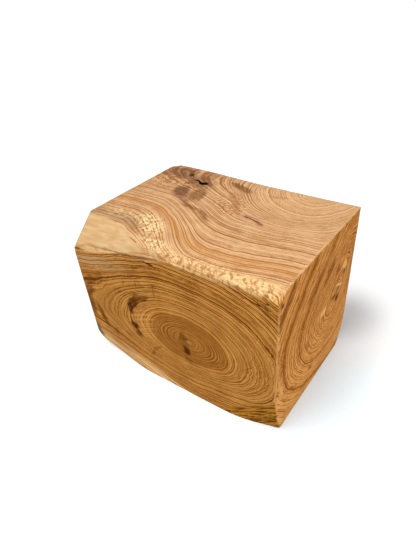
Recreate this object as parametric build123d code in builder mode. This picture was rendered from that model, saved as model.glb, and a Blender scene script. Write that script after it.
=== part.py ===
from build123d import *
import os
from math import atan2, degrees, tan

# A solid block of hardwood with live edges, used as a low stool or side table.
# X runs along the block from its left end, Y from the front to the back and Z up
# from the floor. All sizes are in millimetres.

# Sawn block
length = 455.0  # along the floor
depth = 337.5  # at the left end
height = 330.0
right_lean = 11.5  # the right end leans out by this much at the top
back_taper = 30.0  # the right end is this much shallower than the left
back_bow = [0, 3.5, -2, -2.5, 0]  # how far the back stands out from a straight taper, at even steps
corner_flat = 15.0  # flat worn on the upright edge at the back left
sawn_round = 1.5  # easing of the sawn edges
front_right_round = 3.0  # the upright edge at the front right is eased more

# Live edges. The rows stand evenly along the block, from just past its left end to
# just past its right. A row holds how wide the edge is on the flat, how tall on the
# side, and how round: 0 is a straight slope and 1 is a full round.
top_front_edge = [
    (66, 64, 0.10),
    (61.5, 53, 0.10),
    (58, 48.5, 0.12),
    (48.5, 39, 0.18),
    (31.5, 30.5, 0.35),
    (13, 20.5, 0.50),
    (8.5, 16, 0.60),
    (8, 12, 0.60),
    (8, 11, 0.60),
    (8, 10.5, 0.60),
    (8, 9.5, 0.60),
    (9, 9, 0.55),
    (17, 12, 0.40),
    (42, 25, 0.20),
]
bottom_front_edge = [
    (21.5, 63.5, 0.70),
    (17, 57, 0.65),
    (11, 49.5, 0.60),
    (5, 40, 0.50),
    (1, 30, 0.50),
    (0.7, 20, 0.50),
    (0.5, 14.5, 0.50),
    (0.5, 14, 0.50),
    (0.5, 18, 0.50),
    (0.7, 24, 0.50),
    (2, 35, 0.50),
    (7.5, 56, 0.40),
    (17.5, 84, 0.30),
    (32, 120, 0.30),
]
bottom_back_edge = [
    (8, 18, 0.50),
    (10, 22, 0.60),
    (12, 25, 0.60),
    (11, 23, 0.60),
    (9, 20, 0.60),
    (9, 20, 0.60),
    (12, 27, 0.60),
    (16, 35, 0.60),
    (20, 42, 0.65),
    (24, 50, 0.70),
    (27, 57, 0.75),
    (28, 60, 0.75),
    (27, 61, 0.75),
    (25, 62, 0.75),
]
past_ends = 8.0  # the first and last rows stand this far past the block
overrun = 0.25  # each cutting arc runs on past the block by this share of itself
clear_corner = 40.0  # and is closed this far outside the corner

# Void left in the top by a lost knot
void_from_left = 122.0
void_from_back = 63.5  # measured on the left end
void_mouth = [(-24, 9), (-11, 10), (5, 3), (13, 6), (23, 0), (15, -9), (2, -6), (-12, 4)]
void_depth = 14.0
void_floor_share = 0.5  # its floor, as a share of its mouth


def live_edge_section(corner, inward_y, inward_z, wide, tall, roundness):
    """The section that a live edge has lost at one point of the sawn corner: an arc that
    bulges towards the corner, run on past both faces of the block and closed outside it."""
    half_turn = roundness * atan2(min(wide, tall), max(wide, tall))
    on_flat = Vector(corner.Y + inward_y * wide, corner.Z)
    on_side = Vector(corner.Y, corner.Z + inward_z * tall)
    chord = (on_flat - on_side).length
    bulge = chord / 2 * tan(half_turn / 2)
    radius = (chord**2 / 4 + bulge**2) / (2 * bulge)
    outward = Vector(-inward_y * tall, -inward_z * wide).normalized()
    centre = (on_flat + on_side) * 0.5 - outward * (radius - bulge)
    half_sweep = degrees(half_turn) * (1 + overrun)
    arc_ends = [centre + outward.rotate(Axis.Z, turn) * radius for turn in (-half_sweep, half_sweep)]
    outside = Vector(corner.Y - inward_y * clear_corner, corner.Z - inward_z * clear_corner)
    with BuildSketch(Plane.YZ.offset(corner.X)) as section:
        with BuildLine():
            ThreePointArc(arc_ends[0], centre + outward * radius, arc_ends[1])
            Polyline(arc_ends[1], outside, arc_ends[0])
        make_face()
    return section.sketch


def cut_live_edge(rows, sawn_corner, inward_y, inward_z):
    """Lofts a live edge through its rows, set evenly along the sawn corner, and cuts it off."""
    sections = []
    for number, (wide, tall, roundness) in enumerate(rows):
        corner = sawn_corner @ (number / (len(rows) - 1))
        sections.append(live_edge_section(corner, inward_y, inward_z, wide, tall, roundness))
    loft(sections, mode=Mode.SUBTRACT)


# Lines of the sawn corners, from just past the left end to just past the right
left_of_block = -past_ends
right_of_block = length + right_lean + past_ends
front_bottom_corner = Line((left_of_block, 0, 0), (right_of_block, 0, 0))
front_top_corner = Line((left_of_block, 0, height), (right_of_block, 0, height))
back_points = []
for step, bow in enumerate(back_bow):
    share = step / (len(back_bow) - 1)
    x = left_of_block + share * (right_of_block - left_of_block)
    back_points.append((x, depth - back_taper * share + bow))
back_bottom_corner = Spline(*back_points)

with BuildPart() as wood_block:
    # Sawn faces
    with BuildSketch():
        with BuildLine():
            add(back_bottom_corner)
            Polyline(back_points[0], (left_of_block, 0), (right_of_block, 0), back_points[-1])
        make_face()
    extrude(amount=height)
    left_end = Plane.YZ
    right_end = Plane(origin=(length, 0, 0), x_dir=(0, 1, 0), z_dir=(height, 0, -right_lean))
    split(bisect_by=left_end, keep=Keep.TOP)
    split(bisect_by=right_end, keep=Keep.BOTTOM)

    # Eased edges
    back_left = wood_block.faces().sort_by(Axis.X)[0].edges().sort_by(Axis.Y)[-1]
    chamfer(back_left, length=corner_flat)
    front_right = wood_block.faces().sort_by(Axis.Y)[0].edges().sort_by(Axis.X)[-1]
    fillet(front_right, radius=front_right_round)
    top_face = wood_block.faces().sort_by(Axis.Z)[-1]
    fillet(top_face.edges().sort_by(Axis.Y)[1:], radius=sawn_round)

    # Live edges
    cut_live_edge(top_front_edge, front_top_corner, 1, -1)
    cut_live_edge(bottom_front_edge, front_bottom_corner, 1, 1)
    cut_live_edge(bottom_back_edge, back_bottom_corner, -1, 1)

    # Void
    for drop, share in ((0, 1), (void_depth, void_floor_share)):
        with BuildSketch(Plane((void_from_left, depth - void_from_back, height - drop))):
            with BuildLine():
                Spline(*[(share * x, share * y) for x, y in void_mouth], periodic=True)
            make_face()
    loft(mode=Mode.SUBTRACT)

# The origin is on the floor, under the middle of the block
box = wood_block.part.bounding_box()
wood_block.part.move(Pos(-box.center().X, -box.center().Y, -box.min.Z))

wood_block.part.label = "wood_block"
os.makedirs("parts", exist_ok=True)
export_step(wood_block.part, "parts/wood_block.step")
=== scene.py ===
import bpy
from math import radians
from mathutils import Euler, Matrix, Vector


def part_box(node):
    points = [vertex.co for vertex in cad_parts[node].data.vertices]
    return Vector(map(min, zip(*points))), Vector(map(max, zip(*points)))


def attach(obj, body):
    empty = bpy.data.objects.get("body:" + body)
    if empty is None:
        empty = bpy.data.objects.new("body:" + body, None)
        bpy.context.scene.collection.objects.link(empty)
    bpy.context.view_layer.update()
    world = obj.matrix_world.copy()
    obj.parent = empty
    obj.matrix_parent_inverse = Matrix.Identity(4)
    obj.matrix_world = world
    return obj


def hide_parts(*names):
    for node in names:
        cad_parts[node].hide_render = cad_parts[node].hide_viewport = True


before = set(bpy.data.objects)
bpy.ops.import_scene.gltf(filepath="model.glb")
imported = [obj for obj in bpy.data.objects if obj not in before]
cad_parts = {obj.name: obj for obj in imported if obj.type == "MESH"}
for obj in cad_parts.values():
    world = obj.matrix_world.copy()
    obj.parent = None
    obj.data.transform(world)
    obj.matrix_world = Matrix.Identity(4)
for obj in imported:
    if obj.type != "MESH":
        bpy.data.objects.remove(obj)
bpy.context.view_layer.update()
print("frame loaded")

# A solid hardwood block with sawn faces and live edges, sanded and oiled.
# Lengths are millimetres on the block's own axes: x along the front from its left end,
# y from the front to the back, z up from the floor. Blender's unit is the metre.
mm = 0.001
cadLow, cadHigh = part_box("wood_block")
blockLength = (cadHigh.x - cadLow.x) / mm
blockHeight = cadHigh.z / mm
rightLean = 11.5  # the right end leans out by this much at the top
depthAtLeft = 337.5
backTaper = 30  # the right end is this much shallower than the left


def deselectAll():
    bpy.ops.object.select_all(action="DESELECT")


def makeActive(thing):
    deselectAll()
    thing.select_set(True)
    bpy.context.view_layer.objects.active = thing


def applyModifier(thing, kind, **settings):
    makeActive(thing)
    modifier = thing.modifiers.new(kind.title(), kind)
    for name, value in settings.items():
        setattr(modifier, name, value)
    bpy.ops.object.modifier_apply(modifier=modifier.name)


def smoothStep(value, low, high):
    share = min(max((value - low) / (high - low), 0), 1)
    return share * share * (3 - 2 * share)


# Camera
viewpoint = {
    "place": (0.46244, -0.60230, 0.70869),  # metres
    "turn": (55.003, 4.940, 35.918),  # degrees
    "lens": 28.54,  # millimetres
    "sensor": 36,
    "nearest": 0.01,  # metres
}


def placeCamera():
    deselectAll()
    turn = [radians(angle) for angle in viewpoint["turn"]]
    bpy.ops.object.camera_add(location=viewpoint["place"], rotation=turn)
    camera = bpy.context.object
    camera.data.lens = viewpoint["lens"]
    camera.data.sensor_width = viewpoint["sensor"]
    camera.data.clip_start = viewpoint["nearest"]
    bpy.context.scene.camera = camera


placeCamera()
print("camera placed")

# The block's shape
blockShape = {
    "voxel": 1.9,  # spacing of the worked mesh
    "quickVoxel": 4,
    "mergeWithin": 0.01,
    "rimSmoothing": (0.6, 8),  # strength and passes
    "triangles": 186000,
    # size, height and detail of each kind of wave
    "faceWave": (130, 0.7, 2),  # hand sanding leaves the sawn faces a little uneven
    "facetWave": (55, 2.2, 2),  # soft waves on the top live edge
    "lowWave": (38, 2.4, 2),
    "raggedWave": (9, 4.0, 4),  # the torn wood on the live edge at the bottom right
    "waveMiddle": 0.62,  # the waves go mostly inwards, so the block keeps its size
    "leastWeight": 0.01,
    # where each of them starts and where it is full
    "insideBox": (0.4, 4),
    "topEdgeAbove": (200, 230),
    "tornBelow": (150, 120),
    "tornBefore": (60, 40),
    "tornInside": (0.2, 3.5),
    "tornRightOf": (300, 390),
    "lowBelow": (150, 100),
    "lowInside": (0.4, 6),
    "aboveBase": (1, 25),
    # the rounded lower rim of the debarked slope, which climbs to the right
    "rimDrop": 55,
    "rimClimb": 0.152,
    "rimReach": (14, 5),
    "rimLeftOf": (235, 190),
    "rimBefore": (30, 12),
}


def topEdgeWeight(x, y, z):
    right = blockLength - rightLean + rightLean * z / blockHeight - x
    insideBox = smoothStep(min(blockHeight - z, y, right, x), *blockShape["insideBox"])
    return insideBox * smoothStep(z, *blockShape["topEdgeAbove"])


def raggedWeight(x, y, z):
    lowFront = smoothStep(z, *blockShape["tornBelow"]) * smoothStep(y, *blockShape["tornBefore"])
    inside = smoothStep(min(y, z), *blockShape["tornInside"])
    return inside * lowFront * smoothStep(x, *blockShape["tornRightOf"])


def lowEdgeWeight(x, y, z):
    return smoothStep(z, *blockShape["lowBelow"]) * smoothStep(min(y, z), *blockShape["lowInside"])


def lowerRimWeight(x, y, z):
    rim = blockHeight - blockShape["rimDrop"] + blockShape["rimClimb"] * x
    alongRim = smoothStep(abs(z - rim), *blockShape["rimReach"])
    atLeft = smoothStep(x, *blockShape["rimLeftOf"])
    return alongRim * atLeft * smoothStep(y, *blockShape["rimBefore"])


def aboveBase(x, y, z):
    return smoothStep(z, *blockShape["aboveBase"])


def addGroup(thing, name, weightAt):
    group = thing.vertex_groups.new(name=name)
    for vertex in thing.data.vertices:
        x = (vertex.co.x - cadLow.x) / mm
        y = (vertex.co.y - cadLow.y) / mm
        weight = weightAt(x, y, vertex.co.z / mm)
        if weight > blockShape["leastWeight"]:
            group.add([vertex.index], weight, "REPLACE")
    return group.name


def addWaves(thing, name, weightAt, size, height, detail):
    texture = bpy.data.textures.new(name, "CLOUDS")
    texture.noise_scale = size * mm
    texture.noise_depth = detail
    applyModifier(
        thing,
        "DISPLACE",
        texture=texture,
        texture_coords="LOCAL",
        strength=height * mm,
        mid_level=blockShape["waveMiddle"],
        vertex_group=addGroup(thing, name, weightAt),
    )


def copyBlock(cadNode):  # a merged copy of the sawn block, which takes none of the frame's labels
    deselectAll()
    block = cadNode.copy()
    block.data = cadNode.data.copy()
    block.parent = None
    for label in list(block.keys()):
        if label.startswith("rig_"):
            del block[label]
    block.name = "live_edge_block"
    bpy.context.scene.collection.objects.link(block)
    makeActive(block)
    bpy.ops.object.mode_set(mode="EDIT")
    bpy.ops.mesh.select_all(action="SELECT")
    bpy.ops.mesh.remove_doubles(threshold=blockShape["mergeWithin"] * mm)
    bpy.ops.mesh.normals_make_consistent(inside=False)
    bpy.ops.object.mode_set(mode="OBJECT")
    return block


def shapeBlock():
    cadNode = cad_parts["wood_block"]
    block = copyBlock(cadNode)
    voxel = blockShape["voxel"]
    applyModifier(block, "REMESH", mode="VOXEL", voxel_size=voxel * mm)
    applyModifier(block, "SHRINKWRAP", target=cadNode, wrap_method="NEAREST_SURFACEPOINT")
    print("block meshed", len(block.data.polygons))

    strength, passes = blockShape["rimSmoothing"]
    rimGroup = addGroup(block, "lowerRim", lowerRimWeight)
    applyModifier(block, "SMOOTH", factor=strength, iterations=passes, vertex_group=rimGroup)
    addWaves(block, "faceWaves", aboveBase, *blockShape["faceWave"])
    addWaves(block, "facetWaves", topEdgeWeight, *blockShape["facetWave"])
    addWaves(block, "lowWaves", lowEdgeWeight, *blockShape["lowWave"])
    addWaves(block, "raggedWaves", raggedWeight, *blockShape["raggedWave"])
    print("live edges worked")

    faces = sum(len(face.vertices) - 2 for face in block.data.polygons)
    applyModifier(block, "DECIMATE", ratio=min(1, blockShape["triangles"] / faces))
    makeActive(block)
    bpy.ops.object.shade_smooth()
    block.vertex_groups.clear()
    print("block finished", len(block.data.polygons))
    return block


# Shader maths: a Wire is one value in a material, and sums on it add Math nodes
class Wire:
    def __init__(self, finish, socket):
        self.finish = finish
        self.socket = socket

    def math(self, operation, *others):
        return self.finish.node(
            "ShaderNodeMath", {"operation": operation}, dict(enumerate([self, *others]))
        )

    def __add__(self, other):
        return self.math("ADD", other)

    def __mul__(self, other):
        return self.math("MULTIPLY", other)

    def __sub__(self, other):
        return self.math("SUBTRACT", other)

    def __truediv__(self, other):
        return self.math("DIVIDE", other)

    def __rsub__(self, other):
        return self * -1 + other

    __radd__ = __add__

    def atLeast(self, other):
        return self.math("MAXIMUM", other)

    def atMost(self, other):
        return self.math("MINIMUM", other)

    def rise(self, low, high, start=0.0, end=1.0, shape="SMOOTHSTEP"):  # eased from start to end
        return self.finish.node(
            "ShaderNodeMapRange",
            {"interpolation_type": shape},
            {"Value": self, "From Min": low, "From Max": high, "To Min": start, "To Max": end},
        )

    def clamped(self):
        return self.rise(0, 1, shape="LINEAR")

    def near(self, middle, reach):  # 1 at the middle value, 0 at reach from it
        return (self - middle).math("ABSOLUTE").rise(reach, 0)

    def swing(self, contrast, middle=0.5):  # a noise turned into a push up or down
        return (self - middle) * contrast


class Finish:
    def __init__(self, name):
        self.material = bpy.data.materials.new(name)
        self.material.use_nodes = True
        self.tree = self.material.node_tree
        self.tree.nodes.clear()

    def node(self, kind, settings=None, values=None, output=0):
        made = self.tree.nodes.new(kind)
        for name, value in (settings or {}).items():
            setattr(made, name, value)
        for name, value in (values or {}).items():
            if isinstance(value, Wire):
                self.tree.links.new(value.socket, made.inputs[name])
            else:
                made.inputs[name].default_value = value
        return Wire(self, made.outputs[output])

    def show(self, shader):
        output = self.tree.nodes.new("ShaderNodeOutputMaterial")
        self.tree.links.new(shader.socket, output.inputs["Surface"])

    def objectPlace(self):
        return self.node("ShaderNodeTexCoord", output=3)

    def mix(self, share, start, end):  # colours, by their Mix sockets' places
        return self.node(
            "ShaderNodeMix", {"data_type": "RGBA"}, {0: share, 6: start, 7: end}, output=2
        )

    def split(self, vector):
        first = self.node("ShaderNodeSeparateXYZ", None, {0: vector})
        sockets = first.socket.node.outputs
        return [Wire(self, sockets[axis]) for axis in range(3)]

    def vector(self, x, y, z):
        return self.node("ShaderNodeCombineXYZ", None, {0: x, 1: y, 2: z})

    def vectorMath(self, operation, values, output=0):
        return self.node("ShaderNodeVectorMath", {"operation": operation}, values, output)

    def length(self, x, y, z=0.0):
        return self.vectorMath("LENGTH", {0: self.vector(x, y, z)}, output=1)

    def noise(self, vector, size, detail=2.0, roughness=0.5, output=0):
        return self.node(
            "ShaderNodeTexNoise",
            {"noise_dimensions": "3D"},
            {"Vector": vector, "Scale": 1 / size, "Detail": detail, "Roughness": roughness},
            output,
        )

    def lineNoise(self, value, size, detail=1.0):  # irregular lines, as growth rings are
        return self.node(
            "ShaderNodeTexNoise",
            {"noise_dimensions": "1D"},
            {"W": value, "Scale": 1 / size, "Detail": detail},
        )

    def jostle(self, vector, size, reach, detail=1.0):  # moves places about by a noise
        push = self.vectorMath(
            "SUBTRACT", {0: self.noise(vector, size, detail, output=1), 1: (0.5, 0.5, 0.5)}
        )
        moved = self.vectorMath("SCALE", {0: push, "Scale": reach})
        return self.vectorMath("ADD", {0: vector, 1: moved})

    def spot(self, vector, middle, reach, turn=(0, 0, 0), core=0.35):  # 1 inside an oval, 0 outside
        away = self.vectorMath("SUBTRACT", {0: vector, 1: middle})
        axes = Euler([radians(angle) for angle in turn]).to_matrix().col
        shares = [
            self.vectorMath("DOT_PRODUCT", {0: away, 1: axes[side] / reach[side]}, output=1)
            for side in range(3)
        ]
        return self.length(*shares).rise(1, core)


# Growth rings: each sawn face has its own field, in millimetres from its pith outwards
ringShapes = {
    "arcs": {  # the nested arcs at the back right, which open towards the back
        "middle": (385, 320),  # x, y
        "growthToLeft": -0.0045,
        "stretchToLeft": (0.575, 1.25),  # at the middle, and the least
        "stretchToRight": 0.8,
    },
    "tanBand": {  # the S-shaped tan band of the top, by its distance from the back
        "back": 340,
        "leftEnd": 199,
        "bend": (80, 305),  # x where it starts and ends its turn towards the front
        "bendDepth": 95,
        "tail": (330, 465),  # x where it comes back a little
        "tailDepth": 10,
    },
    "top": {
        "arcsShift": 65,
        "spreadBack": 0.85,
        "spreadFront": (0.65, 0.35),  # at the left, and what the bend adds
        "bandRing": 205,
        "arcsEnd": (130, 200),  # from the back, where they give way to the tan band
        "leftSooner": 40,
        "shift": 22,
        "nearFront": (120, 0),
        "frontShift": 30,
    },
    "front": {
        "pith": (277, 149),  # x, z
        "farLeft": 150,
        "stretch": 1.64,
        "lessToRight": 0.0009,
        "moreFarLeft": 0.000027,
        "squeezeBelow": 0.0025,
    },
    "right": {
        "pith": (225, 165),  # y, z
        "towardsFront": 0.8,
        "lean": (0.55, 0.83),  # the way that its C-shaped lines open
        "open": 0.45,
        "shift": 30,
    },
    "left": {"pith": (345, 150), "across": 0.42, "lessToBack": 0.0018},  # y, z
    "back": {"top": 330, "down": 0.7, "shift": 87},
    "bottom": {"pith": (250, 330), "along": 2, "across": 0.52, "below": 130},  # x, y
}


def nestedAlong(x):  # how the nested arcs are drawn out sideways
    arcs = ringShapes["arcs"]
    start, least = arcs["stretchToLeft"]
    along = x - arcs["middle"][0]
    left = along.atMost(0)
    stretch = (left * arcs["growthToLeft"] + start).atLeast(least)
    return left / stretch + along.atLeast(0) / arcs["stretchToRight"]


def fromTanBand(x, y):  # distance towards the front from the tan band
    band = ringShapes["tanBand"]
    fromBack = band["back"] - y
    middle = x.rise(*band["bend"]) * band["bendDepth"] + band["leftEnd"]
    middle = middle - x.rise(*band["tail"]) * band["tailDepth"]
    return fromBack - middle


def topRings(wood, x, y):
    shape = ringShapes["top"]
    atLeft, more = shape["spreadFront"]
    arcs = wood.length(nestedAlong(x), ringShapes["arcs"]["middle"][1] - y) - shape["arcsShift"]
    step = x.rise(*ringShapes["tanBand"]["bend"])
    offBand = fromTanBand(x, y)
    towardsBack = offBand.atMost(0) * shape["spreadBack"]
    towardsFront = offBand.atLeast(0) * (atLeft + step * more)
    band = towardsBack + towardsFront + shape["bandRing"]
    fromBack = (ringShapes["tanBand"]["back"] - y) + (1 - step) * shape["leftSooner"]
    share = fromBack.rise(*shape["arcsEnd"])
    rings = arcs + (band - arcs) * share - shape["shift"]
    return rings - y.rise(*shape["nearFront"]) * shape["frontShift"]


def frontRings(wood, x, z):
    shape = ringShapes["front"]
    along = x - shape["pith"][0]
    down = shape["pith"][1] - z
    farLeft = (along * -1 - shape["farLeft"]).atLeast(0)
    stretch = shape["stretch"] - along * shape["lessToRight"]
    stretch = stretch + farLeft * farLeft * shape["moreFarLeft"]
    lower = down.atLeast(0)
    return wood.length(along / stretch, down + lower * lower * shape["squeezeBelow"])


def rightRings(wood, y, z):
    shape = ringShapes["right"]
    leanAcross, leanDown = shape["lean"]
    across = y - shape["pith"][0]
    across = across.atMost(0) * shape["towardsFront"] + across.atLeast(0)
    down = shape["pith"][1] - z
    opening = across * leanAcross - down * leanDown
    side = across * leanDown + down * leanAcross
    opening = opening.atMost(0) + opening.atLeast(0) * shape["open"]
    return wood.length(opening, side) - shape["shift"]


def leftRings(wood, y, z):
    shape = ringShapes["left"]
    across = (shape["pith"][0] - y) * shape["across"]
    return wood.length(across, (shape["pith"][1] - z) * (1 - y * shape["lessToBack"]))


def backRings(wood, x, z):
    shape = ringShapes["back"]
    return wood.length(nestedAlong(x), (shape["top"] - z) * shape["down"]) - shape["shift"]


def bottomRings(wood, x, y):
    shape = ringShapes["bottom"]
    along = (x - shape["pith"][0]) / shape["along"]
    return wood.length(along, (y - shape["pith"][1]) * shape["across"], shape["below"])


# Oiled wood. A pair is where a thing starts and where it is full, unless a note says otherwise.
woodLook = {
    "colours": {
        "topDark": (0.37, 0.152, 0.052),
        "topLight": (0.75, 0.452, 0.226),
        "frontDark": (0.19, 0.052, 0.001),
        "frontLight": (0.70, 0.325, 0.074),
        "sideDark": (0.29, 0.080, 0.003),
        "sideLight": (0.82, 0.37, 0.095),
        "tan": (0.48, 0.195, 0.050),
        "heart": (0.25, 0.070, 0.002),
        "cream": (0.76, 0.515, 0.27),
        "gold": (0.96, 0.68, 0.32),
        "fleck": (0.98, 0.74, 0.37),
        "lowSapwood": (0.95, 0.62, 0.27),
        "shadedOlive": (0.135, 0.047, 0.002),
        "moss": (0.58, 0.245, 0.026),
        "burl": (0.215, 0.090, 0.043),
        "umber": (0.26, 0.105, 0.036),
        "russet": (0.40, 0.165, 0.062),
        "greyBrown": (0.32, 0.178, 0.078),
        "paleGrey": (0.62, 0.375, 0.165),
        "knot": (0.080, 0.020, 0.001),
        "pith": (0.150, 0.042, 0.001),
        "curl": (0.95, 0.50, 0.17),
        "weathered": (0.16, 0.105, 0.052),
        "voidShade": (0.012, 0.008, 0.006),
    },
    "faces": {  # how far in from each sawn face its own look goes
        "backBulge": (112, 115),  # x of its middle and how far it reaches
        "backBulgeHeight": 3.5,
        "backHollow": (295, 140),  # the same
        "backHollowDepth": 3,
        "top": (260, 190, 16, 36),  # it starts 16 in right of x 260, and 36 in left of x 190
        "topFull": 2,
        "topInside": (0.3, 1.5),
        "backLip": 0.6,
        "right": (3, 0.8),
        "front": (14, 3),
    },
    "areas": {  # middle, reach each way, turn in degrees, and the share of it at full strength
        "burl": ((75, 280, 330), (150, 105, 60), (0, 0, 0), 0.2),
        "crinkle": ((440, 0, 170), (80, 60, 90), (0, 0, 0), 0.3),
        "ripple": ((62, 0, 160), (75, 60, 80), (0, 0, 0), 0.4),
        "nest": ((370, 275, 330), (130, 85, 60), (0, 0, 0), 0.3),
        "figure": ((243, 212, 330), (72, 46, 30), (0, 0, -38), 0.3),
        "rays": ((166, 0, 150), (42, 20, 62), (0, 8, 0), 0.35),
        "slopeSpecks": ((152, 76, 330), (74, 34, 20), (0, 0, -34), 0.3),
        "rimSpecks": ((205, 26, 322), (62, 24, 22), (0, 0, -14), 0.35),
        "leftSpecks": ((80, 84, 330), (80, 22, 20), (0, 0, 0), 0.35),
        "void": ((122, 274, 330), (36, 20, 40), (0, 0, 0), 0.8),
    },
    "wavering": [  # of the grain: size, reach, what some areas add to the reach, and detail
        (110, 16, {}, 2),
        (26, 2.2, {"burl": 10, "ripple": 14}, 2),
        (7.5, 1.0, {"burl": 4, "crinkle": 9, "ripple": 4, "nest": 6}, 1),
    ],
    "seam": 1.3,  # the rings of two faces run into each other over about this far
    "rings": {  # sizes and contrasts of the rings and of the fibres that cross them
        "bands": 9,
        "bandContrast": 1.2,
        "lines": (2.5, 2),  # size and detail
        "lineEdges": (0.38, 0.54),
        "lineContrast": 0.80,
        "lineMiddle": 0.62,
        "fine": 1.2,
        "fineContrast": 1.3,
        "fineShift": 300,  # keeps the fine lines from following the others
        "fibreAcross": 0.6,
        "fibreAlong": 0.06,
        "fibre": (1, 3, 0.6),  # size, detail and roughness
        "fibreContrast": 1.6,
        "patch": (45, 3),  # size and detail
        "patchContrast": 0.9,
        "fleck": (3.2, 2, 0.6),  # size, detail and roughness
        "fleckContrast": 0.7,
    },
    "figuring": {  # what stands out on one face or in one area
        "sideBands": 24,
        "sideBandsFrom": (25, 70),
        "sideBandContrast": 2.4,
        "sideFibreContrast": 1.4,
        "figureScale": (0.085, 0.12),  # along its two slanted directions
        "figure": (1, 2, 0.6),  # size, detail and roughness
        "figureMiddle": 0.53,
        "figureContrast": 4.2,
        "mottle": (10, 3, 0.65),  # size, detail and roughness
        "mottleContrast": 3.4,
        "burlDarker": 0.16,
    },
    "levels": {  # where the tone is quieter, livelier, lighter or darker
        "frontTop": (215, 275),
        "frontTopLivelier": 0.4,
        "frontTopDarker": 0.12,
        "innerRings": (132, 118),
        "innerRingsQuieter": 0.30,
        "sideBounceHeight": (20, 230),
        "sideBounceLight": (-0.34, 0.20),  # painted light from the floor, lighter at the foot: what the height adds, and at the foot
        "sideQuieter": 0.15,
        "leftAndBack": (25, 4),
        "leftAndBackQuieter": 0.4,
        "rippleQuieter": 0.35,
        "crinkleQuieter": 0.2,
        "nestQuieter": 0.2,
        "nestLighter": 0.14,
        "topAlong": (0, 466),
        "topTone": (0.10, 0.07),  # lighter towards the right by this much, and darker overall
        "middle": 0.56,
    },
    "bands": {
        "tanWidth": (60, 290, 11, 27),  # from 11 at x 60 to 27 at x 290
        "tanStrength": (1.2, 0.9),  # and how much the light tone takes away
        "heartEdge": (61, 55),
        "heartStrength": (0.62, 0.22),  # the same
        "upperStripe": (139, 8),  # its ring and how far it reaches
        "upperStripeHeight": (190, 215),
        "upperStripeStrength": 0.55,
        "lowerStripe": (148, 6),  # the same
        "lowerStripeHeight": (130, 100),
        "lowerStripeStrength": 0.3,
    },
    "rays": {
        "slant": (0.8, 0.35),  # up and along
        "width": 5,
        "edges": (0.45, 0.58),
        "strength": 0.5,
    },
    "specks": {
        "leftShare": 0.6,
        "across": (0.66, 0.75),  # x and y of the way they are turned
        "scale": (0.17, 0.11, 0.1),
        "noise": (1, 2, 0.6),  # size, detail and roughness
        "contrast": 4.6,
        "toneShare": 0.75,
        "middle": 0.55,
        "strength": 0.8,
    },
    "rim": {  # the pale rim along the front of the top
        "downShare": 0.6,
        "before": (32, 8),
        "above": (20, 8),
        "rightOf": (185, 270),
        "edges": (0.36, 0.56),
        "strength": 0.35,
        "toneShare": 0.35,
        "brightRightOf": (330, 420),
        "brighter": 0.2,
    },
    "slope": {  # the debarked slope at the front left
        "edge": 56,  # y of its upper edge at the left end
        "edgeCurve": (85, 215),
        "edgeCurveDepth": 46,
        "fringe": (-3, 1),
        "fringeFades": (42, 12),
        "fringeLeftOf": (170, 105),
        "fringeStrength": (0.85, 0.4),  # and how much the light tone takes away
        "insideBox": (0.8, 3.5),
        "above": (250, 258),
        "slant": 0.9,
        "end": (206, 190),
        "grainScale": (0.012, 0.10, 0.10),
        "grain": (1, 4, 0.6),  # size, detail and roughness
        "grainEdges": (0.3, 0.7),
        "strength": 0.92,
        "ringDrop": 41,  # a growth ring that shows in the slope
        "ringMiddle": 47,
        "ringBow": 0.006,
        "ringWidth": 2.6,
        "ringReach": (60, 62),  # x of its middle and how far it reaches
        "ringStrength": 0.6,
        "rimClimb": 0.152,
        "rimDrop": 53.5,
        "rimWaver": 10,
        "rimBefore": (20, 8),
        "greyLine": (-4, 2.2),  # how far below the rim its middle is, and its reach
        "greyLineLeftOf": (240, 200),
        "greyLineStrength": (20, 160, 0.35, 0.9),  # from 0.35 at x 20 to 0.9 at x 160
        "paleBand": (24, 30),  # the same
        "paleBandLeftOf": (190, 60),
        "paleBandStrength": (0.25, 0.5),  # and what the light tone adds
    },
    "sapwood": {  # pale, on the live edge under the front at the left
        "climb": 0.29,
        "line": 80,
        "edge": (6, -10),
        "before": (40, 20),
        "leftOf": (345, 235),
        "grainScale": (0.009, 0.12, 0.2),
        "grain": (1, 4, 0.65),
        "grainEdges": (0.42, 0.56),
        "strength": 0.9,
    },
    "torn": {  # torn, on the same edge at the right; its dark comes from the torn wood and from painted shade where the edge faces down
        "line": 10,
        "start": 345,
        "climb": 0.70,
        "edge": (5, -4),
        "before": (50, 20),
        "rightOf": (325, 360),
        "inside": (0.5, 3),
        "slant": 0.6,
        "grainScale": (0.03, 0.15, 0.22),
        "grain": (1, 4, 0.65),
        "grainEdges": (0.44, 0.57),
        "strength": 0.9,
    },
    "marks": {
        "wander": ((16, 9), (4, 2.5)),  # size and reach
        "ringPull": 3,  # their edges follow the rings
        "gritFleck": 2.4,
        "gritFibre": 1.5,
        "gritTone": 0.8,
        "gritShift": 0.15,
        "larger": 1.2,
        "core": 0.45,
        "stronger": 1.2,
        "gritDepth": 0.5,
    },
    # paler sawn edges: wear, and a painted highlight along them
    "edgeWearAndHighlight": (4, 1.5),
    "edgeWearAndHighlightStrength": 0.25,
    # how far below the top the walls of the hole take the painted shade
    "voidShadeBelowTop": (0.5, 2.5),
    "crackCore": 0.5,
    "crackStrength": 0.95,
    "surface": {
        "toneRelief": 0.5,
        "fibreRelief": 0.5,
        "tornRelief": 3,
        "bump": 0.15,
        "bumpDepth": 0.0008,  # metres
        "roughness": 0.56,
        "smootherWhereLight": 0.1,
        "tornRougher": 0.25,
        "specular": 0.008,
    },
}

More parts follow.
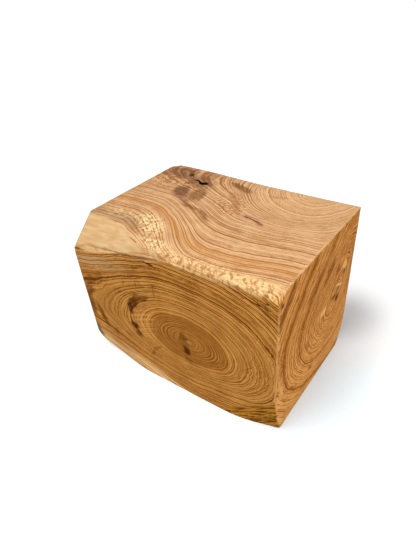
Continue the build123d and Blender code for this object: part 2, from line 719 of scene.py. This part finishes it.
# Marks in the wood: colour, how strong, middle, reach each way, turn in degrees
woodMarks = [
    # top
    ("burl", 0.70, (125, 275, 330), (44, 26, 14), (0, 0, -25)),
    ("burl", 0.75, (55, 303, 330), (60, 30, 14), (0, 0, -15)),
    ("umber", 0.50, (125, 312, 330), (20, 36, 14), (0, 0, 15)),
    ("burl", 0.95, (113, 218, 330), (34, 19, 14), (0, 0, -46)),
    ("umber", 0.80, (156, 220, 330), (19, 31, 14), (0, 0, 8)),
    ("burl", 0.60, (171, 214, 330), (6, 24, 14), (0, 0, 14)),
    ("burl", 0.55, (142, 190, 330), (26, 9, 14), (0, 0, -30)),
    ("umber", 0.80, (178, 168, 330), (30, 7, 12), (0, 0, -12)),
    ("umber", 0.80, (222, 150, 330), (32, 6, 12), (0, 0, -36)),
    ("knot", 0.60, (206, 293, 330), (22, 8, 12), (0, 0, -24)),
    ("umber", 0.90, (228, 284, 330), (30, 11, 12), (0, 0, -24)),
    ("burl", 1.00, (302, 180, 330), (15, 5, 10), (0, 0, -14)),
    ("burl", 0.95, (328, 171, 330), (20, 4.4, 10), (0, 0, -24)),
    ("knot", 0.70, (79, 297, 330), (10, 5, 10), (0, 0, -50)),
    ("burl", 0.55, (100, 258, 330), (12, 6, 10), (0, 0, 20)),
    ("umber", 0.40, (18, 290, 330), (26, 30, 10), (0, 0, -30)),
    ("russet", 0.60, (262, 205, 330), (36, 9, 10), (0, 0, -50)),
    ("russet", 0.50, (235, 238, 330), (40, 8, 10), (0, 0, -42)),
    ("russet", 0.55, (380, 118, 330), (70, 6, 10), (0, 0, -3)),
    ("russet", 0.50, (292, 132, 330), (44, 7, 10), (0, 0, -12)),
    ("russet", 0.45, (315, 278, 330), (26, 6, 10), (0, 0, 8)),
    # front
    ("pith", 0.75, (266, 0, 158), (11, 8, 10), (0, 0, 0)),
    ("knot", 1.00, (270, 0, 127), (9, 8, 13), (0, 0, 0)),
    ("pith", 0.45, (273, 0, 101), (13, 8, 10), (0, 0, 0)),
    ("pith", 0.40, (264, 0, 143), (14, 8, 14), (0, 0, 0)),
    ("knot", 0.62, (172, 0, 211), (26, 8, 7), (0, -28, 0)),
    ("knot", 0.88, (145, 0, 191), (23, 8, 11), (0, -58, 0)),
    ("knot", 0.85, (135, 0, 175), (8, 8, 17), (0, 0, 0)),
    ("knot", 0.95, (136, 0, 130), (14, 8, 9), (0, 25, 0)),
    ("knot", 0.70, (144, 0, 113), (12, 8, 9), (0, 40, 0)),
    ("pith", 0.60, (154, 0, 204), (9, 8, 24), (0, 35, 0)),
    ("pith", 0.45, (190, 0, 92), (20, 8, 4), (0, -45, 0)),
    ("pith", 0.50, (174, 0, 72), (10, 8, 4), (0, -50, 0)),
    ("pith", 0.50, (60, 0, 224), (12, 8, 18), (0, 20, 0)),
    ("pith", 0.60, (20, 0, 206), (36, 8, 9), (0, -20, 0)),
    ("pith", 0.80, (37, 0, 118), (9, 8, 36), (0, -20, 0)),
    ("pith", 0.70, (9, 0, 134), (13, 8, 30), (0, 0, 0)),
    ("pith", 0.65, (13, 0, 176), (14, 8, 26), (0, 30, 0)),
    ("pith", 0.45, (72, 0, 84), (8, 8, 14), (0, 0, 0)),
    ("pith", 0.50, (130, 0, 240), (2, 8, 13), (0, 0, 0)),
    ("pith", 0.50, (165, 0, 245), (2, 8, 12), (0, 0, 0)),
    ("pith", 0.55, (209, 0, 243), (2, 8, 14), (0, 0, 0)),
    ("weathered", 0.85, (3, 6, 64), (15, 14, 30), (0, -15, 0)),
    # right end
    ("knot", 1.00, (466, 241, 163), (9, 11, 11), (0, 0, 0)),
    ("knot", 0.60, (466, 241, 184), (9, 7, 8), (0, 0, 0)),
    ("pith", 0.70, (466, 224, 176), (9, 20, 7), (-20, 0, 0)),
    ("pith", 0.95, (466, 143, 58), (9, 16, 8), (-12, 0, 0)),
    ("pith", 0.80, (466, 275, 64), (9, 17, 12), (0, 0, 0)),
    ("pith", 0.60, (466, 188, 255), (9, 34, 8), (36, 0, 0)),
    ("pith", 0.50, (466, 128, 262), (9, 34, 12), (40, 0, 0)),
    ("pith", 0.50, (466, 24, 296), (9, 50, 10), (50, 0, 0)),
    ("pith", 0.50, (466, 118, 134), (9, 8, 22), (20, 0, 0)),
    ("pith", 0.55, (466, 268, 214), (9, 10, 14), (0, 0, 0)),
    ("pith", 0.50, (466, 230, 236), (9, 14, 12), (0, 0, 0)),
    ("curl", 1.00, (466, 174, 171), (9, 26, 11), (0, 0, 0)),
    ("curl", 0.80, (466, 245, 190), (9, 26, 5), (-25, 0, 0)),
    ("curl", 0.75, (466, 262, 228), (9, 12, 15), (30, 0, 0)),
    ("curl", 0.55, (466, 20, 24), (12, 34, 24), (-40, 0, 0)),
    ("curl", 0.45, (466, 20, 90), (12, 16, 60), (0, 0, 0)),
    ("knot", 0.90, (466, 10, 307), (9, 5, 4), (0, 0, 0)),
    ("pith", 0.70, (466, 4, 289), (9, 4, 6), (0, 0, 0)),
]

# Cracks and pinholes: middle, reach each way, turn in degrees
woodCracks = [
    ((211, 0, 303), (24, 9, 2.6), (0, 8, 0)),
    ((428, 0, 300), (40, 9, 1.4), (0, 7, 0)),
    ((440, 0, 307), (30, 9, 1.3), (0, 5, 0)),
    ((314, 176, 330), (26, 1.8, 9), (0, 0, -18)),
    ((79, 297, 330), (4, 3, 9), (0, 0, 0)),
    ((158, 54, 330), (4, 2.6, 9), (0, 0, 20)),
]


class OiledWood(Finish):
    def __init__(self, name):
        super().__init__(name)
        self.colours = {name: (*value, 1) for name, value in woodLook["colours"].items()}
        self.findFaces()
        self.drawRings()
        self.setTone()
        self.colourFaces()
        self.standOutBands()
        self.addRays()
        self.addSpecks()
        self.addRim()
        self.paintSlope()
        self.addSapwood()
        self.tearWood()
        self.addMarks()
        self.paintEdgeWearAndHighlight()
        self.openCracks()
        self.finishSurface()

    def lay(self, share, colour):  # lays a colour, or one of the named ones, over the wood so far
        self.colour = self.mix(share, self.colour, self.colours.get(colour, colour))

    def area(self, name):
        return self.spot(self.place, *woodLook["areas"][name])

    def findFaces(self):  # how far in from each sawn face a place is, and each face's share
        look = woodLook["faces"]
        fromCorner = self.vectorMath(
            "SUBTRACT", {0: self.objectPlace(), 1: (cadLow.x, cadLow.y, 0)}
        )
        self.place = self.vectorMath("SCALE", {0: fromCorner, "Scale": 1 / mm})
        self.x, self.y, self.z = x, y, z = self.split(self.place)
        self.inTop = blockHeight - z
        self.inRight = z * (rightLean / blockHeight) + (blockLength - rightLean) - x
        inBack = x * (-backTaper / blockLength) + depthAtLeft
        inBack = inBack + x.near(*look["backBulge"]) * look["backBulgeHeight"]
        self.inBack = inBack - x.near(*look["backHollow"]) * look["backHollowDepth"] - y
        topShare = self.inTop.rise(x.rise(*look["top"]), look["topFull"])
        inside = self.inRight.atMost(x).atMost(self.inBack - look["backLip"])
        self.topShare = topShare * inside.rise(*look["topInside"])
        self.rightShare = self.inRight.rise(*look["right"])
        self.frontShare = y.rise(*look["front"])

    def drawRings(self):  # wild around the burl and crinkled at the front right
        self.areas = {name: self.area(name) for name in ("burl", "crinkle", "ripple", "nest")}
        self.grain = self.place
        for size, reach, more, detail in woodLook["wavering"]:
            for name, extra in more.items():
                reach = reach + self.areas[name] * extra
            self.grain = self.jostle(self.grain, size, reach, detail)
        self.grainAxes = gx, gy, gz = self.split(self.grain)
        fields = [
            (self.inTop, topRings(self, gx, gy)),
            (self.y, frontRings(self, gx, gz)),
            (self.inRight, rightRings(self, gy, gz)),
            (self.x, leftRings(self, gy, gz)),
            (self.inBack, backRings(self, gx, gz)),
            (self.z, bottomRings(self, gx, gy)),
        ]
        total = 0
        ringsTotal = 0
        for distance, field in fields:
            weight = (distance.math("ABSOLUTE") + woodLook["seam"]).math("POWER", -2)
            total = weight + total
            ringsTotal = weight * field + ringsTotal
        self.rings = ringsTotal / total

    def setTone(self):  # 0 is dark wood and 1 is light
        look = woodLook["rings"]
        gx, gy, gz = self.grainAxes
        bands = self.lineNoise(self.rings, look["bands"])
        lines = self.lineNoise(self.rings, *look["lines"])
        fine = self.lineNoise(self.rings + look["fineShift"], look["fine"])
        along = look["fibreAlong"]
        fibreSpace = self.vector(self.rings * look["fibreAcross"], (gx + gy) * along, gz * along)
        self.fibre = self.noise(fibreSpace, *look["fibre"])
        patch = self.noise(self.place, *look["patch"])
        self.fleck = self.noise(self.place, *look["fleck"])
        tone = bands.swing(look["bandContrast"]) + lines.rise(*look["lineEdges"]).swing(
            look["lineContrast"], look["lineMiddle"]
        )
        tone = tone + fine.swing(look["fineContrast"])
        tone = tone + self.fibre.swing(look["fibreContrast"])
        tone = tone + patch.swing(look["patchContrast"]) + self.fleck.swing(look["fleckContrast"])
        self.tone = self.levelTone(self.addFiguring(tone)).clamped()

    def addFiguring(self, tone):
        look = woodLook["figuring"]
        x, y = self.x, self.y
        sideBands = self.lineNoise(self.rings, look["sideBands"])
        figureArea = self.area("figure")
        scaleAcross, scaleAlong = look["figureScale"]
        figureSpace = self.vector((x + y) * scaleAcross, (x - y) * scaleAlong, 0.0)
        figure = self.noise(figureSpace, *look["figure"])
        sideBands = (sideBands - 0.5) * self.rings.rise(*look["sideBandsFrom"]) * self.rightShare
        tone = tone + self.rightShare * (self.fibre - 0.5) * look["sideFibreContrast"]
        tone = tone + sideBands * look["sideBandContrast"]
        tone = tone + figureArea * (figure - look["figureMiddle"]) * look["figureContrast"]
        mottle = self.noise(self.grain, *look["mottle"])
        burled = mottle.swing(look["mottleContrast"]) - look["burlDarker"]
        return tone + self.areas["burl"] * burled

    def levelTone(self, tone):
        look = woodLook["levels"]
        nest = self.areas["nest"]
        frontTop = self.frontShare * self.z.rise(*look["frontTop"])
        inner = self.rings.rise(*look["innerRings"]) * self.frontShare
        quiet = inner * look["innerRingsQuieter"]
        # painted bounce light from the floor on the right end: lighter at the foot, darker higher
        # up
        byHeight, atFoot = look["sideBounceLight"]
        sideBounceLight = self.rightShare * (self.z.rise(*look["sideBounceHeight"]) * byHeight + atFoot)
        leftAndBack = self.x.atMost(self.inBack).rise(*look["leftAndBack"])
        quiet = quiet + self.rightShare * look["sideQuieter"]
        quiet = quiet + leftAndBack * look["leftAndBackQuieter"]
        quiet = quiet + self.areas["ripple"] * look["rippleQuieter"]
        quiet = quiet + self.areas["crinkle"] * look["crinkleQuieter"]
        lively = 1 - nest * look["nestQuieter"] + frontTop * look["frontTopLivelier"]
        tone = tone * (lively - quiet)
        towardsRight, darker = look["topTone"]
        topTone = (self.x.rise(*look["topAlong"]) * towardsRight - darker) * self.topShare
        tone = tone + look["middle"] + nest * look["nestLighter"]
        return tone - frontTop * look["frontTopDarker"] + sideBounceLight + topTone

    def colourFaces(self):
        colours = self.colours
        dark = self.mix(self.rightShare, colours["frontDark"], colours["sideDark"])
        light = self.mix(self.rightShare, colours["frontLight"], colours["sideLight"])
        dark = self.mix(self.topShare, dark, colours["topDark"])
        light = self.mix(self.topShare, light, colours["topLight"])
        self.colour = self.mix(self.tone, dark, light)

    def standOutBands(self):  # the tan band of the top, the oval heart and two stripes
        look = woodLook["bands"]
        gx, gy = self.grainAxes[:2]
        offBand = fromTanBand(gx, gy) / self.x.rise(*look["tanWidth"])
        tanBand = offBand.near(0, 1) * self.topShare
        strength, less = look["tanStrength"]
        self.lay(tanBand * (strength - self.tone * less), "tan")
        heartArea = self.rings.rise(*look["heartEdge"]) * self.frontShare
        strength, less = look["heartStrength"]
        self.lay(heartArea * (strength - self.tone * less), "heart")
        upper = self.rings.near(*look["upperStripe"]) * self.frontShare
        upper = upper * self.z.rise(*look["upperStripeHeight"])
        lower = self.rings.near(*look["lowerStripe"]) * self.frontShare
        lower = lower * self.z.rise(*look["lowerStripeHeight"])
        stripes = upper * look["upperStripeStrength"] + lower * look["lowerStripeStrength"]
        self.lay(stripes, "heart")

    def addRays(self):  # pale ripples across the rings, beside the dark knot of the front
        look = woodLook["rays"]
        up, along = look["slant"]
        rays = self.lineNoise(self.z * up - self.x * along, look["width"])
        rayArea = self.area("rays")
        self.lay(rayArea * rays.rise(*look["edges"]) * look["strength"], "sideLight")

    def addSpecks(self):  # speckled sheen on the top, near the debarked slope
        look = woodLook["specks"]
        x, y = self.x, self.y
        less, more = look["across"]
        scaleX, scaleY, scaleZ = look["scale"]
        speckArea = self.area("slopeSpecks")
        speckArea = speckArea.atLeast(self.area("rimSpecks"))
        speckArea = speckArea.atLeast(self.area("leftSpecks") * look["leftShare"])
        speckSpace = self.vector(
            (x * less + y * more) * scaleX, (x * more - y * less) * scaleY, self.z * scaleZ
        )
        self.specks = self.noise(speckSpace, *look["noise"])
        speckTone = self.specks.swing(look["contrast"]) + self.tone.swing(look["toneShare"])
        speckTone = (speckTone + look["middle"]).clamped()
        speckColour = self.mix(speckTone, self.colours["russet"], self.colours["fleck"])
        self.lay(speckArea * look["strength"], speckColour)

    def addRim(self):
        look = woodLook["rim"]
        rim = (self.y + self.inTop * look["downShare"]).rise(*look["before"])
        rim = rim * self.inTop.rise(*look["above"]) * self.x.rise(*look["rightOf"])
        edges = self.specks.rise(*look["edges"])
        rimColour = self.mix(edges, self.colours["tan"], self.colours["gold"])
        strength = look["strength"] + self.tone * look["toneShare"]
        strength = strength + self.x.rise(*look["brightRightOf"]) * look["brighter"]
        self.lay(rim * strength, rimColour)

    def paintSlope(self):  # with its grey fringes and a ring that shows in it
        look = woodLook["slope"]
        x, y = self.x, self.y
        slopeEdge = look["edge"] - x.rise(*look["edgeCurve"]) * look["edgeCurveDepth"]
        aboveSlope = y - slopeEdge
        fringe = aboveSlope.rise(*look["fringe"]) * aboveSlope.rise(*look["fringeFades"])
        fringe = fringe * self.topShare * x.rise(*look["fringeLeftOf"])
        strength, less = look["fringeStrength"]
        self.lay(fringe * (strength - self.tone * less), "greyBrown")
        live = self.inTop.atMost(y).atMost(x).rise(*look["insideBox"])
        slope = live * self.z.rise(*look["above"]) * (x + y * look["slant"]).rise(*look["end"])
        scales = look["grainScale"]
        grainSpace = self.vector(x * scales[0], y * scales[1], self.z * scales[2])
        slopeGrain = self.noise(grainSpace, *look["grain"])
        pale = slopeGrain.rise(*look["grainEdges"])
        slopeColour = self.mix(pale, self.colours["paleGrey"], self.colours["cream"])
        self.lay(slope * look["strength"], slopeColour)
        ringDrop = self.inTop - look["ringDrop"]
        ringDrop = ringDrop - (x - look["ringMiddle"]) * (x - look["ringMiddle"]) * look["ringBow"]
        slopeRing = ringDrop.near(0, look["ringWidth"]) * slope * x.near(*look["ringReach"])
        self.lay(slopeRing * look["ringStrength"], "tan")
        self.paintLowerRim(slopeGrain)

    def paintLowerRim(self, slopeGrain):  # the grey line under the slope, and a pale band below it
        look = woodLook["slope"]
        x, y = self.x, self.y
        belowRim = self.inTop + x * look["rimClimb"] - look["rimDrop"]
        rimWaver = slopeGrain.swing(look["rimWaver"])
        greyLine = (belowRim + rimWaver).near(*look["greyLine"]) * y.rise(*look["rimBefore"])
        greyLine = greyLine * x.rise(*look["greyLineLeftOf"])
        paleBand = (belowRim + rimWaver).near(*look["paleBand"]) * y.rise(*look["rimBefore"])
        paleBand = paleBand * x.rise(*look["paleBandLeftOf"])
        least, toneShare = look["paleBandStrength"]
        self.lay(paleBand * (least + self.tone * toneShare), "paleGrey")
        self.lay(greyLine * x.rise(*look["greyLineStrength"]), "weathered")

    def addSapwood(self):
        look = woodLook["sapwood"]
        x, y, z = self.x, self.y, self.z
        lowLine = z + x * look["climb"] - look["line"]
        sapwood = lowLine.rise(*look["edge"]) * y.rise(*look["before"]) * x.rise(*look["leftOf"])
        scales = look["grainScale"]
        streakSpace = self.vector(
            x * scales[0], y * scales[1], (z + x * look["climb"]) * scales[2]
        )
        streaks = self.noise(streakSpace, *look["grain"]).rise(*look["grainEdges"])
        sapColour = self.mix(streaks, self.colours["tan"], self.colours["lowSapwood"])
        self.lay(sapwood * look["strength"], sapColour)

    def tearWood(self):
        look = woodLook["torn"]
        x, y, z = self.x, self.y, self.z
        tornLine = z - look["line"] - (x - look["start"]).atLeast(0) * look["climb"]
        torn = tornLine.rise(*look["edge"]) * y.rise(*look["before"]) * x.rise(*look["rightOf"])
        self.torn = torn * self.inRight.rise(*look["inside"])
        scales = look["grainScale"]
        tornSpace = self.vector(x * scales[0], y * scales[1], (z - x * look["slant"]) * scales[2])
        self.tornGrain = self.noise(tornSpace, *look["grain"])
        light = self.tornGrain.rise(*look["grainEdges"])
        # the dark olive is the torn wood's own colour with painted shade, as this edge faces down
        tornColour = self.mix(light, self.colours["shadedOlive"], self.colours["moss"])
        self.lay(self.torn * look["strength"], tornColour)

    def addMarks(self):  # knots, burls, streaks and small dark marks
        look = woodLook["marks"]
        wandering = self.place
        for size, reach in look["wander"]:
            wandering = self.jostle(wandering, size, reach)
        ringPull = self.tone.swing(look["ringPull"])
        pull = self.vector(ringPull, ringPull, ringPull)
        self.wandering = self.vectorMath("ADD", {0: wandering, 1: pull})
        grit = self.fleck.swing(look["gritFleck"]) + self.fibre.swing(look["gritFibre"])
        grit = grit + self.tone * look["gritTone"] - look["gritShift"]
        for name, strength, middle, reach, turn in woodMarks:
            reach = [side * look["larger"] for side in reach]
            mark = self.spot(self.wandering, middle, reach, turn, look["core"])
            patchy = grit * strength * look["gritDepth"]
            self.lay(mark * (strength * look["stronger"] - patchy), name)

    def paintEdgeWearAndHighlight(self):  # the sawn edges are worn paler, and a painted highlight runs along them
        nearEdge = (self.inRight + self.inTop).atMost(self.inRight + self.y)
        self.lay(nearEdge.rise(*woodLook["edgeWearAndHighlight"]) * woodLook["edgeWearAndHighlightStrength"], "gold")

    def openCracks(self):
        # painted shade: the walls of the hole in the top are painted black below the top face
        self.lay(self.area("void") * self.inTop.rise(*woodLook["voidShadeBelowTop"]), "voidShade")
        for middle, reach, turn in woodCracks:
            crack = self.spot(self.wandering, middle, reach, turn, woodLook["crackCore"])
            self.lay(crack * woodLook["crackStrength"], "knot")

    def finishSurface(self):
        look = woodLook["surface"]
        relief = self.tone * look["toneRelief"] + self.fibre * look["fibreRelief"]
        relief = relief + self.torn * self.tornGrain * look["tornRelief"]
        bump = self.node(
            "ShaderNodeBump",
            None,
            {"Strength": look["bump"], "Distance": look["bumpDepth"], "Height": relief},
        )
        roughness = look["roughness"] - self.tone * look["smootherWhereLight"]
        roughness = roughness + self.torn * look["tornRougher"]
        shader = self.node(
            "ShaderNodeBsdfPrincipled",
            None,
            {
                "Base Color": self.colour,
                "Roughness": roughness,
                "Specular IOR Level": look["specular"],
                "Normal": bump,
            },
        )
        self.show(shader)


block = shapeBlock()
block.data.materials.clear()
block.data.materials.append(OiledWood("oiled wood").material)
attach(block, "root")
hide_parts("wood_block")
print("wood finished")

# Studio, in metres
studio = {
    "floorSize": 60,
    "white": (1, 1, 1, 1),
    "ambient": 0.50,
    "key": {"place": (0.05, -0.78, 1.95), "aim": (0, 0, 0.12), "size": 0.8, "power": 23},
    "fill": {"place": (1.7, -0.2, 0.9), "aim": (0, 0, 0.15), "size": 1.4, "power": 8},
    "floorColour": (0.75, 0.755, 0.76, 1),
    "floorCool": (0.64, 0.745, 0.81, 1),  # balances the warm light off the right end
    "coolArea": ((0.27, -0.06, 0), (0.18, 0.25, 0.1)),
    "coolCore": 0.3,
    "floorGlow": (0.41, 0.75),  # near the block, where its shadow lies, and far from it
    "floorFade": (0.40, 1.3),
    "paintedShadows": [  # middle, reach and depth of the painted shadow on the floor beside and behind the block
        ((0.24, 0.06, 0), (0.17, 0.42, 0.1), 0.17),
        ((0.20, 0.22, 0), (0.11, 0.13, 0.1), 0.20),
    ],
    "paintedShadowCore": 0.2,
}


def makeFloor():
    deselectAll()
    bpy.ops.mesh.primitive_plane_add(size=studio["floorSize"], location=(0, 0, 0))
    floor = bpy.context.object
    floor.name = "studio_floor"
    paper = Finish("studio paper")
    seen = paper.node("ShaderNodeLightPath")  # 1 where the camera sees the floor
    place = paper.objectPlace()
    fromBlock = paper.vectorMath("LENGTH", {0: place}, output=1)
    level = fromBlock.rise(*studio["floorFade"], *studio["floorGlow"])
    # painted shadow: the floor's glow is lowered beside and behind the block
    for middle, reach, depth in studio["paintedShadows"]:
        level = level - paper.spot(place, middle, reach, core=studio["paintedShadowCore"]) * depth
    glow = paper.node(
        "ShaderNodeEmission", None, {"Color": studio["white"], "Strength": seen * level}
    )
    cool = paper.spot(place, *studio["coolArea"], core=studio["coolCore"])
    paperColour = paper.mix(cool, studio["floorColour"], studio["floorCool"])
    matt = paper.node("ShaderNodeBsdfDiffuse", None, {"Color": paperColour})
    paper.show(paper.node("ShaderNodeAddShader", None, {0: matt, 1: glow}))
    floor.data.materials.append(paper.material)


def makeWorld():  # plain ambient light, and white where the camera sees it
    world = bpy.data.worlds.new("studio")
    bpy.context.scene.world = world
    world.use_nodes = True
    tree = world.node_tree
    background = tree.nodes["Background"]
    lightPath = tree.nodes.new("ShaderNodeLightPath")
    level = tree.nodes.new("ShaderNodeMapRange")
    level.inputs["To Min"].default_value = studio["ambient"]
    level.inputs["To Max"].default_value = 1
    tree.links.new(lightPath.outputs["Is Camera Ray"], level.inputs["Value"])
    tree.links.new(level.outputs[0], background.inputs["Strength"])
    background.inputs["Color"].default_value = studio["white"]


def addLamp(name):
    light = studio[name]
    towards = Vector(light["aim"]) - Vector(light["place"])
    turn = towards.to_track_quat("-Z", "Y").to_euler()
    deselectAll()
    bpy.ops.object.light_add(type="AREA", location=light["place"], rotation=turn)
    lamp = bpy.context.object
    lamp.name = name + "_lamp"
    lamp.data.shape = "DISK"
    lamp.data.size = light["size"]
    lamp.data.energy = light["power"]


makeFloor()
makeWorld()
addLamp("key")
addLamp("fill")
bpy.context.scene.view_settings.view_transform = "Standard"
print("studio lit")
